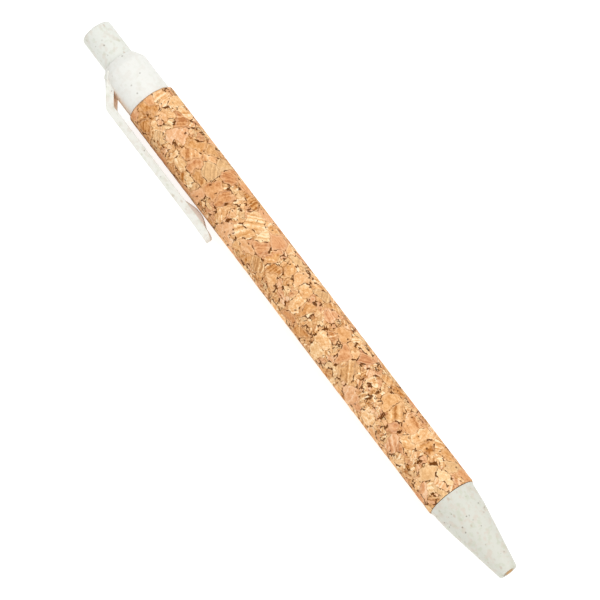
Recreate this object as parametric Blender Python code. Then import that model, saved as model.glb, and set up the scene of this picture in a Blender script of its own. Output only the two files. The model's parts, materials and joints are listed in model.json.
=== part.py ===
"""A retractable ballpoint pen: a cork-covered barrel with a plastic collar, clip, push button and nose cone.

Each piece is drawn about the pen's own axis, in millimetres: s runs along the axis from the button's end (0)
to the nose cone's mouth (PEN_LENGTH), and r is the distance from it. The clip stands out towards local -Y.
The empty pen_axis then lays the whole pen down along +X, on its barrel and on the clip's edge, with the
refill retracted.
"""

import math

import bmesh
import bpy
from mathutils import Matrix, Vector

MM = 0.001
WELD = 1e-6

# Driving dimensions.
PEN_LENGTH = 138.0
BARREL_RADIUS = 5.25
CORK_START, CORK_END = 19.05, 119.5
PRESS_TRAVEL = 7.0
SEGMENTS = 48
FINE_SEGMENTS = 36
FIT_GAP = 0.05
SEAT_GAP = 0.1

# The sleeves of the barrel, from the outside in.
CORK_WALL = 0.9
CORK_EDGE = 0.3
LINER_OUTER = BARREL_RADIUS - CORK_WALL - FIT_GAP
LINER_INNER = 3.75

# Push button and collar.
BUTTON_RADIUS = 3.3
BUTTON_EDGE = 0.5
BUTTON_END = 11.0
BUTTON_BORE = 1.6
COLLAR_TOP = 8.4
COLLAR_RADIUS = 4.8
COLLAR_BORE = 3.4
COLLAR_LIP = 0.15
COLLAR_SLOPE = (2.0, 1.1)
SPIGOT_RADIUS = LINER_INNER - FIT_GAP
SPIGOT_END = 30.0
CAM_SEAT = 19.4
CAM_RADIUS = 3.05

# The click mechanism: three slots of 60 degrees between three ribs of 60 degrees.
SLOT_COUNT = 3
SLOT_DEGREES = 60.0
SLOT_RADIUS = 2.6
RIB_RADIUS = 2.05
CAM_TOP, CAM_END = 19.7, 36.0
CAM_RING = 0.8
RIB_END = 29.4
RIB_TOOTH = 0.9
LOBE_RADIUS = 2.5
CORE_RADIUS = 1.9
CROWN_TOOTH = 0.6
CROWN_TIP = 24.3
PILOT_RADIUS, PILOT_BORE = 0.95, 1.15

# Refill.
REFILL_TOP = 32.6
TUBE_RADIUS, TUBE_BORE = 1.5, 1.0
TUBE_END = 121.0
EAR_START, EAR_WIDTH, EAR_RADIUS = 111.2, 0.8, 2.05
INK_START, INK_END = 44.0, 117.0
TIP_RADIUS = 1.15
BALL_RADIUS = 0.5
BALL_S = 135.4

# Nose cone: its outline is slightly convex over NOSE_CURVE, then straight.
NOSE_START = CORK_END + SEAT_GAP
NOSE_RADIUS = 4.85
NOSE_CURVE = 6.0
NOSE_SLOPES = (0.03, 0.18)
NOSE_MOUTH = 1.3
SPRING_SEAT = 133.4
NOSE_SPIGOT_START = 108.5
BUSH_START, BUSH_BORE = 107.5, 3.2

# Return spring.
WIRE_RADIUS = 0.19
COIL_RADIUS = 1.85
ACTIVE_TURNS, CLOSED_TURNS = 10, 1.5
CLOSED_PITCH = 0.45
POINTS_PER_TURN = 12

# Clip: an arch out of the collar, then a straight blade with a bump near its rounded end.
CLIP_THICKNESS = 1.5
CLIP_OUTER = 7.75
CLIP_INNER = CLIP_OUTER - CLIP_THICKNESS
CLIP_ROOT_S = 11.0
CLIP_BEND_S = 15.2
CLIP_BEND_RADIUS = 1.0
CLIP_EDGE = 0.3
CLIP_ROOT_RADIUS = 3.0
CLIP_HINGE = (10.0, 4.6)
CLIP_END = 49.0
CLIP_WIDTHS = (7.0, 4.6, 4.2)
CLIP_NOSE = 2.1
BUMP_START, BUMP_TIP, BUMP_END = 39.0, 43.2, 46.8
FOOT_START, FOOT_END, FOOT_WIDTH, FOOT_INNER = 11.0, 13.0, 4.2, 3.6
WINDOW_CLEARANCE = 0.2

# Lying on its barrel, the pen rolls until the clip's widest edge, at the bend, meets the surface.
EDGE_RADIUS, EDGE_HALF = CLIP_OUTER - CLIP_EDGE, CLIP_WIDTHS[1] / 2
EDGE_REACH = math.hypot(EDGE_RADIUS, EDGE_HALF)
EDGE_ANGLE = math.atan2(EDGE_HALF, EDGE_RADIUS)
ROLL_DEGREES = math.degrees(math.asin(BARREL_RADIUS / EDGE_REACH) - EDGE_ANGLE)
CLIP_ROLL = math.radians(math.floor(2 * ROLL_DEGREES) / 2)

# The barrel's turned pieces start at this angle, so that one of their facets lies flat on the surface.
HALF_FACET = math.pi / SEGMENTS
FACET_START = (math.pi - CLIP_ROLL - HALF_FACET) % (2 * HALF_FACET)

MATERIALS = {
    "straw_plastic": ((0.76, 0.74, 0.65), 0.45, 0.0),
    "cork": ((0.72, 0.42, 0.20), 0.85, 0.0),
    "kraft_card": ((0.50, 0.36, 0.22), 0.90, 0.0),
    "white_plastic": ((0.85, 0.85, 0.83), 0.35, 0.0),
    "clear_plastic": ((0.80, 0.84, 0.86), 0.20, 0.0),
    "ink": ((0.02, 0.04, 0.25), 0.30, 0.0),
    "brass": ((0.72, 0.50, 0.20), 0.28, 1.0),
    "spring_steel": ((0.55, 0.55, 0.56), 0.30, 1.0),
    "carbide": ((0.40, 0.40, 0.42), 0.15, 1.0),
}


def clear_scene():
    for obj in list(bpy.data.objects):
        bpy.data.objects.remove(obj)


def material(name):
    """The Principled BSDF of one finish, made once."""
    made = bpy.data.materials.get(name)
    if made is None:
        colour, roughness, metallic = MATERIALS[name]
        made = bpy.data.materials.new(name)
        made.use_nodes = True
        shader = made.node_tree.nodes["Principled BSDF"]
        shader.inputs["Base Color"].default_value = (*colour, 1.0)
        shader.inputs["Roughness"].default_value = roughness
        shader.inputs["Metallic"].default_value = metallic
    return made


def add_object(name, bm, finish, helper=False):
    """The bmesh as an object on the pen's axis. A helper is a cutter or a shape to join, and not a piece."""
    mesh = bpy.data.meshes.new(name)
    bm.to_mesh(mesh)
    bm.free()
    mesh.shade_smooth()
    mesh.set_sharp_from_angle(angle=math.radians(35))
    obj = bpy.data.objects.new(name, mesh)
    bpy.context.scene.collection.objects.link(obj)
    obj.parent = bpy.data.objects["pen_axis"]
    obj.hide_render = helper
    if helper:
        obj.display_type = "WIRE"
    else:
        mesh.materials.append(material(finish))
    return obj


def boolean(obj, operation, other):
    modifier = obj.modifiers.new(f"{operation.lower()}_{other.name}", "BOOLEAN")
    modifier.operation = operation
    modifier.solver = "EXACT"
    modifier.object = other


def arc(centre, radii, start, end, steps):
    """Points (s, r) of an elliptical arc. Angles are in degrees from +s towards +r."""
    points = []
    for i in range(steps + 1):
        angle = math.radians(start + (end - start) * i / steps)
        points.append((centre[0] + radii[0] * math.cos(angle), centre[1] + radii[1] * math.sin(angle)))
    return points


def spin_outline(bm, outline, segments):
    """Turns an outline of (s, r) points about the axis. It is a loop, or it starts and ends on the axis."""
    start = FACET_START if segments == SEGMENTS else 0
    across, up = -math.sin(start) * MM, math.cos(start) * MM
    verts = [bm.verts.new((s * MM, r * across, r * up)) for s, r in outline]
    edges = [bm.edges.new(pair) for pair in zip(verts, verts[1:])]
    if outline[0][1] > 0:
        edges.append(bm.edges.new((verts[-1], verts[0])))
    turn = {"cent": (0, 0, 0), "axis": (1, 0, 0), "angle": math.tau, "steps": segments}
    bmesh.ops.spin(bm, geom=verts + edges, use_merge=True, **turn)
    bmesh.ops.remove_doubles(bm, verts=bm.verts, dist=WELD)


def turned(name, outline, finish, segments=SEGMENTS, shape_end=None):
    """A turned piece. shape_end(s, angle, r) can move a point along the axis, as for a crown of teeth."""
    bm = bmesh.new()
    spin_outline(bm, outline, segments)
    if shape_end:
        for vert in bm.verts:
            angle, r = math.atan2(vert.co.z, vert.co.y), math.hypot(*vert.co.yz) / MM
            vert.co.x = shape_end(vert.co.x / MM, angle, r) * MM
    bmesh.ops.recalc_face_normals(bm, faces=bm.faces)
    return add_object(name, bm, finish)


def sector_set(name, s_range, r_range, start_degrees, sweep_degrees, steps, end_of=None):
    """Three equal blocks around the axis, one for each slot, to join to a turned piece.

    end_of(share) gives the s of the blocks' far end at that share of the sweep.
    """
    bm = bmesh.new()
    (near, far), (low, high) = s_range, r_range
    for k in range(SLOT_COUNT):
        corners = [(near, low), (far, low), (far, high), (near, high)]
        verts = [bm.verts.new((s * MM, r * MM, 0)) for s, r in corners]
        start = math.radians(start_degrees + 360 / SLOT_COUNT * k)
        bmesh.ops.rotate(bm, verts=verts, cent=(0, 0, 0), matrix=Matrix.Rotation(start, 3, "X"))
        face = bm.faces.new(verts)
        before = set(bm.verts) - set(verts)
        bmesh.ops.spin(
            bm,
            geom=[face, *face.edges, *verts],
            cent=(0, 0, 0),
            axis=(1, 0, 0),
            angle=math.radians(sweep_degrees),
            steps=steps,
        )
        if end_of:
            for vert in set(bm.verts) - before:
                if vert.co.x > (near + far) / 2 * MM:
                    turn = (math.degrees(math.atan2(vert.co.z, vert.co.y) - start) + 5) % 360 - 5
                    vert.co.x = end_of(turn / sweep_degrees) * MM
    bmesh.ops.recalc_face_normals(bm, faces=bm.faces)
    return add_object(name, bm, None, helper=True)


def triangle_wave(angle, count):
    """From 0 to 1 and back, count times in a full turn, and 1 at angle 0."""
    return abs(2 * ((angle / math.tau * count) % 1) - 1)


# The barrel.


def cork_sleeve():
    inner = BARREL_RADIUS - CORK_WALL
    edge = (CORK_EDGE, CORK_EDGE)
    outline = [(CORK_END, inner), (CORK_START, inner)]
    outline += arc((CORK_START + CORK_EDGE, BARREL_RADIUS - CORK_EDGE), edge, 180, 90, 2)
    outline += arc((CORK_END - CORK_EDGE, BARREL_RADIUS - CORK_EDGE), edge, 90, 0, 2)
    turned("cork_sleeve", outline, "cork")


def liner_tube():
    start, end = CORK_START + FIT_GAP, CORK_END - FIT_GAP
    outline = [(start, LINER_INNER), (start, LINER_OUTER), (end, LINER_OUTER), (end, LINER_INNER)]
    turned("liner_tube", outline, "kraft_card")


def front_bush():
    end = CORK_END - 2 * SEAT_GAP
    outline = [(BUSH_START, BUSH_BORE), (BUSH_START, SPIGOT_RADIUS), (end, SPIGOT_RADIUS), (end, BUSH_BORE)]
    turned("front_bush", outline, "white_plastic")


def nose_outer(s):
    """The nose cone's outer radius at s."""
    along = s - NOSE_START
    first, last = NOSE_SLOPES
    curved = min(along, NOSE_CURVE)
    drop = first * curved + (last - first) / (2 * NOSE_CURVE) * curved**2
    return NOSE_RADIUS - drop - last * max(along - NOSE_CURVE, 0)


def nose_cone():
    rim = 0.2
    spigot = BUSH_BORE - FIT_GAP
    cavity = 2.45
    taper_start, seat_radius = 124.0, 2.2
    outline = [(NOSE_SPIGOT_START, cavity), (NOSE_SPIGOT_START, spigot), (NOSE_START, spigot)]
    outline += [(NOSE_START, NOSE_RADIUS)]
    outline += [(s, nose_outer(s)) for s in (NOSE_START + NOSE_CURVE * i / 4 for i in range(1, 5))]
    outline += arc((PEN_LENGTH - rim, nose_outer(PEN_LENGTH) - rim), (rim, rim), 80, 0, 2)
    outline += [(PEN_LENGTH, NOSE_MOUTH), (SPRING_SEAT, NOSE_MOUTH), (SPRING_SEAT, seat_radius)]
    outline += [(taper_start, cavity)]
    turned("nose_cone", outline, "straw_plastic")


# The collar and the clip.


def collar():
    cam_bore, face = CAM_RADIUS + FIT_GAP, CORK_START - SEAT_GAP
    lip = COLLAR_BORE + COLLAR_LIP
    slope_end = (COLLAR_TOP + COLLAR_SLOPE[0], lip + COLLAR_SLOPE[1])
    outline = [(COLLAR_TOP, COLLAR_BORE), (COLLAR_TOP, lip), slope_end, (slope_end[0] + 0.4, COLLAR_RADIUS)]
    outline += [(face, COLLAR_RADIUS), (face, SPIGOT_RADIUS), (SPIGOT_END, SPIGOT_RADIUS)]
    outline += [(SPIGOT_END, cam_bore), (CAM_SEAT, cam_bore), (CAM_SEAT, COLLAR_BORE)]
    body = turned("collar", outline, "straw_plastic")
    window = box_helper(
        "clip_window",
        (FOOT_START - WINDOW_CLEARANCE, FOOT_END + WINDOW_CLEARANCE),
        (COLLAR_BORE - 1, COLLAR_RADIUS + 1),
        FOOT_WIDTH + 2 * WINDOW_CLEARANCE,
    )
    boolean(body, "DIFFERENCE", window)


def box_helper(name, s_range, r_range, width):
    """A block on the clip's side of the axis."""
    bm = bmesh.new()
    bmesh.ops.create_cube(bm, size=1)
    middle = Vector((sum(s_range) / 2, -sum(r_range) / 2, 0))
    size = Vector((s_range[1] - s_range[0], r_range[1] - r_range[0], width))
    bmesh.ops.scale(bm, verts=bm.verts, vec=size * MM)
    bmesh.ops.translate(bm, verts=bm.verts, vec=middle * MM)
    return add_object(name, bm, None, helper=True)


def clip_half_width(s):
    """The clip narrows from its root to the bend, then slowly, and ends in a half round."""
    root, bend, end = CLIP_WIDTHS
    if s <= CLIP_BEND_S:
        share = max(s - CLIP_ROOT_S, 0) / (CLIP_BEND_S - CLIP_ROOT_S)
        return (root + (bend - root) * share) / 2
    share = (s - CLIP_BEND_S) / (CLIP_END - CLIP_BEND_S)
    half = (bend + (end - bend) * share) / 2
    past = (s - (CLIP_END - CLIP_NOSE)) / CLIP_NOSE
    return half * math.sqrt(max(1 - max(past, 0) ** 2, 0.05))


def clip_stations():
    """The outer and inner points (s, r) of the clip, from its root, round the bend, to its end."""
    slope = math.atan2(CLIP_OUTER - COLLAR_RADIUS, CLIP_BEND_S - CLIP_ROOT_S)
    small, large = CLIP_BEND_RADIUS, CLIP_BEND_RADIUS + CLIP_THICKNESS
    centre = (CLIP_BEND_S + large * math.tan(slope / 2), CLIP_INNER - small)
    stations = []
    for i in range(4):
        angle = math.radians(90) + slope * (1 - i / 3)
        outer = (centre[0] + large * math.cos(angle), centre[1] + large * math.sin(angle))
        inner = (centre[0] + small * math.cos(angle), centre[1] + small * math.sin(angle))
        stations.append((outer, inner))
    first_outer, first_inner = stations[0]
    back = (first_inner[1] - CLIP_ROOT_RADIUS) / math.tan(slope)
    fall = first_inner[1] - CLIP_ROOT_RADIUS
    root = [(s - back, r - fall) for s, r in (first_outer, first_inner)]
    stations.insert(0, tuple(root))
    nose = CLIP_END - CLIP_NOSE
    for share in (0, 0.5, 0.85):
        s = nose + CLIP_NOSE * share
        stations.append(((s, CLIP_OUTER), (s, CLIP_INNER)))
    stations.append(((CLIP_END, CLIP_OUTER - 0.4), (CLIP_END, CLIP_INNER + 0.3)))
    return stations


def clip_section(outer, inner, half):
    """The eight points (s, r, z) of the blade's section: a rectangle with its corners taken off."""
    outer, inner = Vector(outer), Vector(inner)
    edge = min(CLIP_EDGE, 0.4 * half)
    step = (inner - outer).normalized() * edge
    flat = half - edge
    points = [(outer, -flat), (outer, flat), (outer + step, half), (inner - step, half)]
    points += [(inner, flat), (inner, -flat), (inner - step, -half), (outer + step, -half)]
    return [(*point, z) for point, z in points]


def clip():
    """The clip, hollowed to sit on the collar, with a foot that goes through the collar's window."""
    bm = bmesh.new()
    rings = []
    for outer, inner in clip_stations():
        half = clip_half_width((outer[0] + inner[0]) / 2)
        section = clip_section(outer, inner, half)
        rings.append([bm.verts.new((s * MM, -r * MM, z * MM)) for s, r, z in section])
    for ring, following in zip(rings, rings[1:]):
        for i in range(len(ring)):
            bm.faces.new((ring[i], ring[i - 1], following[i - 1], following[i]))
    bm.faces.new(rings[0])
    bm.faces.new(reversed(rings[-1]))
    bmesh.ops.triangulate(bm, faces=bm.faces)
    bmesh.ops.recalc_face_normals(bm, faces=bm.faces)
    blade = add_object("clip", bm, "straw_plastic")
    seat = bmesh.new()
    seat_radius = COLLAR_RADIUS + SEAT_GAP
    spin_outline(seat, [(0, 0), (0, seat_radius), (CORK_START, seat_radius), (CORK_START, 0)], SEGMENTS)
    bmesh.ops.recalc_face_normals(seat, faces=seat.faces)
    boolean(blade, "DIFFERENCE", add_object("clip_seat", seat, None, helper=True))
    foot = box_helper("clip_foot", (FOOT_START, FOOT_END), (FOOT_INNER, COLLAR_RADIUS + 0.55), FOOT_WIDTH)
    boolean(blade, "UNION", foot)
    boolean(blade, "UNION", clip_bump())
    hinge = Vector((CLIP_HINGE[0], -CLIP_HINGE[1], 0)) * MM
    blade.data.transform(Matrix.Translation(-hinge))
    blade.location = hinge


def clip_bump():
    """The bump under the blade that grips cloth against the barrel: a low ridge, narrower than the blade."""
    width = 2.4
    tip = BARREL_RADIUS + SEAT_GAP
    bm = bmesh.new()
    outline = [(BUMP_START, CLIP_INNER + 0.3), (BUMP_START, CLIP_INNER), (BUMP_TIP - 0.6, tip + 0.05)]
    outline += [(BUMP_TIP, tip), (BUMP_TIP + 0.6, tip + 0.05)]
    outline += [(BUMP_END, CLIP_INNER), (BUMP_END, CLIP_INNER + 0.3)]
    side = bm.faces.new([bm.verts.new((s * MM, -r * MM, -width / 2 * MM)) for s, r in outline])
    grown = bmesh.ops.extrude_face_region(bm, geom=[side])
    top = [g for g in grown["geom"] if isinstance(g, bmesh.types.BMVert)]
    bmesh.ops.translate(bm, verts=top, vec=(0, 0, width * MM))
    bmesh.ops.recalc_face_normals(bm, faces=bm.faces)
    return add_object("clip_bump", bm, None, helper=True)


# The push button and the click mechanism.


def push_button():
    edge = (BUTTON_EDGE, BUTTON_EDGE)
    bore_top = 3.0
    outline = [(0, 0)]
    outline += arc((BUTTON_EDGE, BUTTON_RADIUS - BUTTON_EDGE), edge, 180, 90, 3)
    outline += [(BUTTON_END, BUTTON_RADIUS), (BUTTON_END, BUTTON_BORE)]
    outline += [(bore_top, BUTTON_BORE), (bore_top, 0)]
    turned("push_button", outline, "straw_plastic")


def crown_wave(s, angle, r, low, high):
    """Moves the points of an end face between radii low and high into a crown of six teeth."""
    if s < CROWN_TIP - 0.2 or s > CROWN_TIP + 0.3 or not low < r < high:
        return s
    depth = CROWN_TOOTH * (1 - triangle_wave(angle - math.radians(90), 2 * SLOT_COUNT))
    return s - depth if s <= CROWN_TIP else s + depth


def thrust_cam():
    """The plunger under the button: a peg for its bore, three lugs for the slots and a toothed crown."""
    peg = BUTTON_BORE - FIT_GAP
    outline = [(3.2, 0), (3.2, peg), (BUTTON_END + SEAT_GAP, peg), (BUTTON_END + SEAT_GAP, CORE_RADIUS)]
    outline += [(CROWN_TIP, CORE_RADIUS), (CROWN_TIP, PILOT_BORE)]
    outline += [(CROWN_TIP - 3.5, PILOT_BORE), (CROWN_TIP - 3.5, 0)]
    stem = turned(
        "thrust_cam",
        outline,
        "white_plastic",
        FINE_SEGMENTS,
        lambda s, angle, r: crown_wave(s, angle, r, 1.0, 2.0),
    )
    lugs = sector_set("thrust_lugs", (20.8, 23.2), (CORE_RADIUS - 0.4, LOBE_RADIUS), 17, 26, 3)
    boolean(stem, "UNION", lugs)


def rotor():
    """The index cam: a pilot pin and crown that meet the plunger, three lobes, and a stub for the refill."""
    top = CROWN_TIP + SEAT_GAP
    shoulder = REFILL_TOP - SEAT_GAP
    outline = [(top - 2.5, 0), (top - 2.5, PILOT_RADIUS), (top, PILOT_RADIUS + 0.1), (top, CORE_RADIUS)]
    outline += [(shoulder, CORE_RADIUS), (shoulder, TUBE_BORE - 0.1)]
    outline += [(shoulder + 2, TUBE_BORE - 0.1), (shoulder + 2, 0)]
    core = turned(
        "rotor",
        outline,
        "white_plastic",
        FINE_SEGMENTS,
        lambda s, angle, r: crown_wave(s, angle, r, 1.0, 2.0),
    )
    lobes = sector_set("rotor_lobes", (25.0, 29.0), (CORE_RADIUS - 0.4, LOBE_RADIUS), 1.5, 27, 3)
    boolean(core, "UNION", lobes)


def rib_end(share):
    """Two saw teeth over each rib: they turn the rotor on, and their notch holds it while the tip is out."""
    tooth = (2 * share) % 1 if share < 0.99 else 1
    return RIB_END + RIB_TOOTH * (tooth if tooth > 0 or share < 0.1 else 1)


def cam_body():
    ring_end = CAM_TOP + CAM_RING
    outline = [(CAM_TOP, RIB_RADIUS), (CAM_TOP, CAM_RADIUS), (CAM_END, CAM_RADIUS), (CAM_END, SLOT_RADIUS)]
    outline += [(ring_end, SLOT_RADIUS), (ring_end, RIB_RADIUS)]
    body = turned("cam_body", outline, "white_plastic", FINE_SEGMENTS)
    ribs = sector_set(
        "cam_ribs",
        (ring_end - 0.3, RIB_END),
        (RIB_RADIUS, (SLOT_RADIUS + CAM_RADIUS) / 2),
        SLOT_DEGREES,
        SLOT_DEGREES,
        6,
        rib_end,
    )
    boolean(body, "UNION", ribs)


# The refill and its spring.


def refill_tube():
    ear_end = EAR_START + EAR_WIDTH
    outline = [(REFILL_TOP, TUBE_BORE), (REFILL_TOP, TUBE_RADIUS), (EAR_START, TUBE_RADIUS)]
    outline += [(EAR_START, EAR_RADIUS), (ear_end, EAR_RADIUS), (ear_end, TUBE_RADIUS)]
    outline += [(TUBE_END, TUBE_RADIUS), (TUBE_END, TUBE_BORE)]
    turned("refill_tube", outline, "clear_plastic", FINE_SEGMENTS)


def ink_column():
    radius = TUBE_BORE - FIT_GAP
    outline = [(INK_START, 0), (INK_START, radius), (INK_END, radius), (INK_END, 0)]
    turned("ink_column", outline, "ink", FINE_SEGMENTS)


def writing_tip():
    """The brass point: a tail in the tube, a flange, a straight body and a cone with the ball's socket."""
    tail, flange, channel = TUBE_BORE - FIT_GAP, TUBE_RADIUS, 0.3
    flange_start = TUBE_END + SEAT_GAP
    cone_start, mouth = 130.0, BALL_S + 0.15
    socket, lip = BALL_RADIUS + FIT_GAP, BALL_RADIUS + 0.13
    tail_start, socket_floor = INK_END + 0.2, BALL_S - BALL_RADIUS - SEAT_GAP
    outline = [(tail_start, channel), (tail_start, tail), (flange_start, tail), (flange_start, flange)]
    outline += [(flange_start + 0.8, flange), (flange_start + 0.8, TIP_RADIUS), (cone_start, TIP_RADIUS)]
    outline += [(mouth, lip), (mouth, socket), (socket_floor, socket), (socket_floor, channel)]
    turned("writing_tip", outline, "brass", FINE_SEGMENTS)


def writing_ball():
    bm = bmesh.new()
    bmesh.ops.create_uvsphere(bm, u_segments=16, v_segments=10, radius=BALL_RADIUS * MM)
    bmesh.ops.rotate(bm, verts=bm.verts, cent=(0, 0, 0), matrix=Matrix.Rotation(math.pi / 2, 3, "Y"))
    ball = add_object("writing_ball", bm, "carbide")
    ball.location = (BALL_S * MM, 0, 0)


def spring_advance(turn, length):
    """How far along the axis the wire's centre is after that many turns, with closed ends."""
    first = min(turn, CLOSED_TURNS)
    last = max(turn - CLOSED_TURNS - ACTIVE_TURNS, 0)
    active = turn - first - last
    pitch = (length - 2 * CLOSED_TURNS * CLOSED_PITCH) / ACTIVE_TURNS
    return (first + last) * CLOSED_PITCH + active * pitch


def return_spring():
    start = EAR_START + EAR_WIDTH + WIRE_RADIUS + FIT_GAP
    length = SPRING_SEAT - FIT_GAP - WIRE_RADIUS - start
    turns = ACTIVE_TURNS + 2 * CLOSED_TURNS
    count = int(turns * POINTS_PER_TURN) + 1
    curve = bpy.data.curves.new("return_spring", "CURVE")
    curve.dimensions = "3D"
    curve.bevel_depth = WIRE_RADIUS * MM
    curve.bevel_resolution = 1
    curve.use_fill_caps = True
    spline = curve.splines.new("POLY")
    spline.points.add(count - 1)
    for i, point in enumerate(spline.points):
        turn = i / POINTS_PER_TURN
        angle = turn * math.tau
        s = start + spring_advance(turn, length)
        point.co = (s * MM, COIL_RADIUS * math.cos(angle) * MM, COIL_RADIUS * math.sin(angle) * MM, 1)
    curve.materials.append(material("spring_steel"))
    spring = bpy.data.objects.new("return_spring", curve)
    bpy.context.scene.collection.objects.link(spring)
    spring.parent = bpy.data.objects["pen_axis"]


def pen_axis():
    """Lays the pen down: centred along X, its box centred on Y, its barrel on z = 0."""
    corners = ((CLIP_OUTER, EDGE_HALF - CLIP_EDGE), (EDGE_RADIUS, EDGE_HALF))
    clip_reach = max(r * math.cos(CLIP_ROLL) + half * math.sin(CLIP_ROLL) for r, half in corners)
    barrel_height = BARREL_RADIUS * math.cos(HALF_FACET)
    barrel_reach = BARREL_RADIUS * max(math.sin((2 * i + 1) * HALF_FACET) for i in range(SEGMENTS))
    axis = bpy.data.objects.new("pen_axis", None)
    bpy.context.scene.collection.objects.link(axis)
    axis.location = Vector((-PEN_LENGTH / 2, (clip_reach - barrel_reach) / 2, barrel_height)) * MM
    axis.rotation_euler = (CLIP_ROLL, 0, 0)


def main():
    clear_scene()
    pen_axis()
    cork_sleeve()
    liner_tube()
    front_bush()
    nose_cone()
    collar()
    clip()
    push_button()
    thrust_cam()
    rotor()
    cam_body()
    refill_tube()
    ink_column()
    writing_tip()
    writing_ball()
    return_spring()


main()
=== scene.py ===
# %% [markdown]
# # A retractable ballpoint pen with a cork barrel
#
# The pen is a cork tube with a collar, a clip, a push button and a nose cone, all moulded from pale
# plastic with flecks of straw in it. Its solids come in as a fixed frame. This lesson keeps their
# places and sizes, makes finer shapes for everything that shows, and gives every piece a finish made
# of shader nodes.

import json
import math

import bmesh
import bpy
from mathutils import Matrix, Vector, noise


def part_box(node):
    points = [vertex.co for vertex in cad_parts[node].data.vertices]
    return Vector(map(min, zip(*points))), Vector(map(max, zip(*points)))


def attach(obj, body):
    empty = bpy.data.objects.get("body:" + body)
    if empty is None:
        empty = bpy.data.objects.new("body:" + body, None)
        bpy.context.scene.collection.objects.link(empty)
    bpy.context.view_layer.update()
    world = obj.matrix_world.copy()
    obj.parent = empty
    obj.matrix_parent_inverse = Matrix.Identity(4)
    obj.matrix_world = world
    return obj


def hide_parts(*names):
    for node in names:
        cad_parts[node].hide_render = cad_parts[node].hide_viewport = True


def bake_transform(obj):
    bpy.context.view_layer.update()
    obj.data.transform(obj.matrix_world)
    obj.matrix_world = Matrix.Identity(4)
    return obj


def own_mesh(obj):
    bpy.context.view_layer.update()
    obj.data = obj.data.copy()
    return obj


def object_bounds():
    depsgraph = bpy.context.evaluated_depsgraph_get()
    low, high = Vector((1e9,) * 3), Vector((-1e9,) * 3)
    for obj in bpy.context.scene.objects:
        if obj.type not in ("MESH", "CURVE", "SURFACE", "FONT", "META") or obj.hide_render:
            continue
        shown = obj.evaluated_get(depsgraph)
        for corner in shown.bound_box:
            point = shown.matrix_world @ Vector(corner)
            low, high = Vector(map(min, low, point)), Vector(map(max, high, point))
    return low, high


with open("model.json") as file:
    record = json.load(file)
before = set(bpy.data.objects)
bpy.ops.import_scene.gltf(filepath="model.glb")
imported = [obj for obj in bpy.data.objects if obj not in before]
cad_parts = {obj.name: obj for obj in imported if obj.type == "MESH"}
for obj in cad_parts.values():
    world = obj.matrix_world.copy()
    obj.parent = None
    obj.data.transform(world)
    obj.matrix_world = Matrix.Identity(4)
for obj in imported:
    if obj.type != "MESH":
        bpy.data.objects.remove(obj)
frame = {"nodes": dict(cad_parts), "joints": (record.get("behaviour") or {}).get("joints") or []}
solid_low, solid_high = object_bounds()
joints = {joint["name"]: joint for joint in frame["joints"]}
print("the pen fills", [round(1000 * size, 2) for size in solid_high - solid_low], "mm")

# %% [markdown]
# ## The pen's own axis
#
# A turned piece is easiest to draw about its own axis. Here s is the distance along the pen from the
# button's end, r is the distance from the axis, and the clip stands out towards -Y. One matrix then
# lays every piece down where the frame has it. It comes from the joints: the rotor turns about the
# pen's axis, and the clip bends about a line across it, which gives the angle that the pen has rolled
# through to rest on its clip.

# %% Lay the pen down
MM = 0.001
axis_point = joints["rotor_index"]["pos_m"]
hinge_line = Vector(joints["clip_flex"]["axis"])
roll = math.atan2(hinge_line.y, -hinge_line.z)
LENGTH = (solid_high.x - solid_low.x) / MM
AXIS_START = Matrix.Translation((solid_low.x, axis_point[1], axis_point[2]))
LAY = AXIS_START @ Matrix.Rotation(roll, 4, "X")
TOWARDS_CLIP = LAY.to_3x3() @ Vector((0, -1, 0))


def on_pen(s, r=0, across=0):
    """A point of the pen in the frame: s along it, r towards the clip, and across to one side, in mm."""
    return LAY @ (Vector((s, -r, across)) * MM)


def start_of(node):
    return (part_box(node)[0].x - solid_low.x) / MM


def end_of(node):
    return (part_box(node)[1].x - solid_low.x) / MM


print("length", round(LENGTH, 1), "mm, rolled by", round(math.degrees(roll), 1), "degrees")

# %% [markdown]
# ## The camera
#
# The camera stands a metre away with a long lens, so the pen hardly tapers with distance. It looks
# along the clip's edge, leans a little towards the nose so that its mouth shows, and is turned so
# that the pen runs down to the right. Its three directions are worked out from the pen's own and
# put in one matrix, because turning it by hand would never give such exact angles.

# %% Camera
LEAN = math.radians(14.5)
SLOPE = math.radians(-52.65)
DISTANCE, LENS = 1.0, 306
AIM = on_pen(69.7, 0.14)

towards_camera = LAY.to_3x3() @ Vector((math.sin(LEAN), 0, math.cos(LEAN)))
along = LAY.to_3x3() @ Vector((math.cos(LEAN), 0, -math.sin(LEAN)))
across = towards_camera.cross(along)
right = along * math.cos(SLOPE) - across * math.sin(SLOPE)
up = towards_camera.cross(right)

camera = bpy.data.objects.new("camera", bpy.data.cameras.new("camera"))
bpy.context.scene.collection.objects.link(camera)
camera.data.lens = LENS
camera.data.clip_start, camera.data.clip_end = 0.1, 20
turned = Matrix((right, up, towards_camera)).transposed().to_4x4()
camera.matrix_world = Matrix.Translation(AIM + towards_camera * DISTANCE) @ turned
bpy.context.scene.camera = camera
print("camera at", [round(value, 3) for value in camera.matrix_world.translation])

# %% [markdown]
# ## Floor and light
#
# The pen lies on a white sheet in a bright, soft studio. One broad lamp shines from the side away
# from the clip, a weaker one fills from the clip's side near the nose, and the white surroundings do
# the rest. The sheet glows a little, like a light table, so the pen keeps only a faint shadow.

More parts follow.
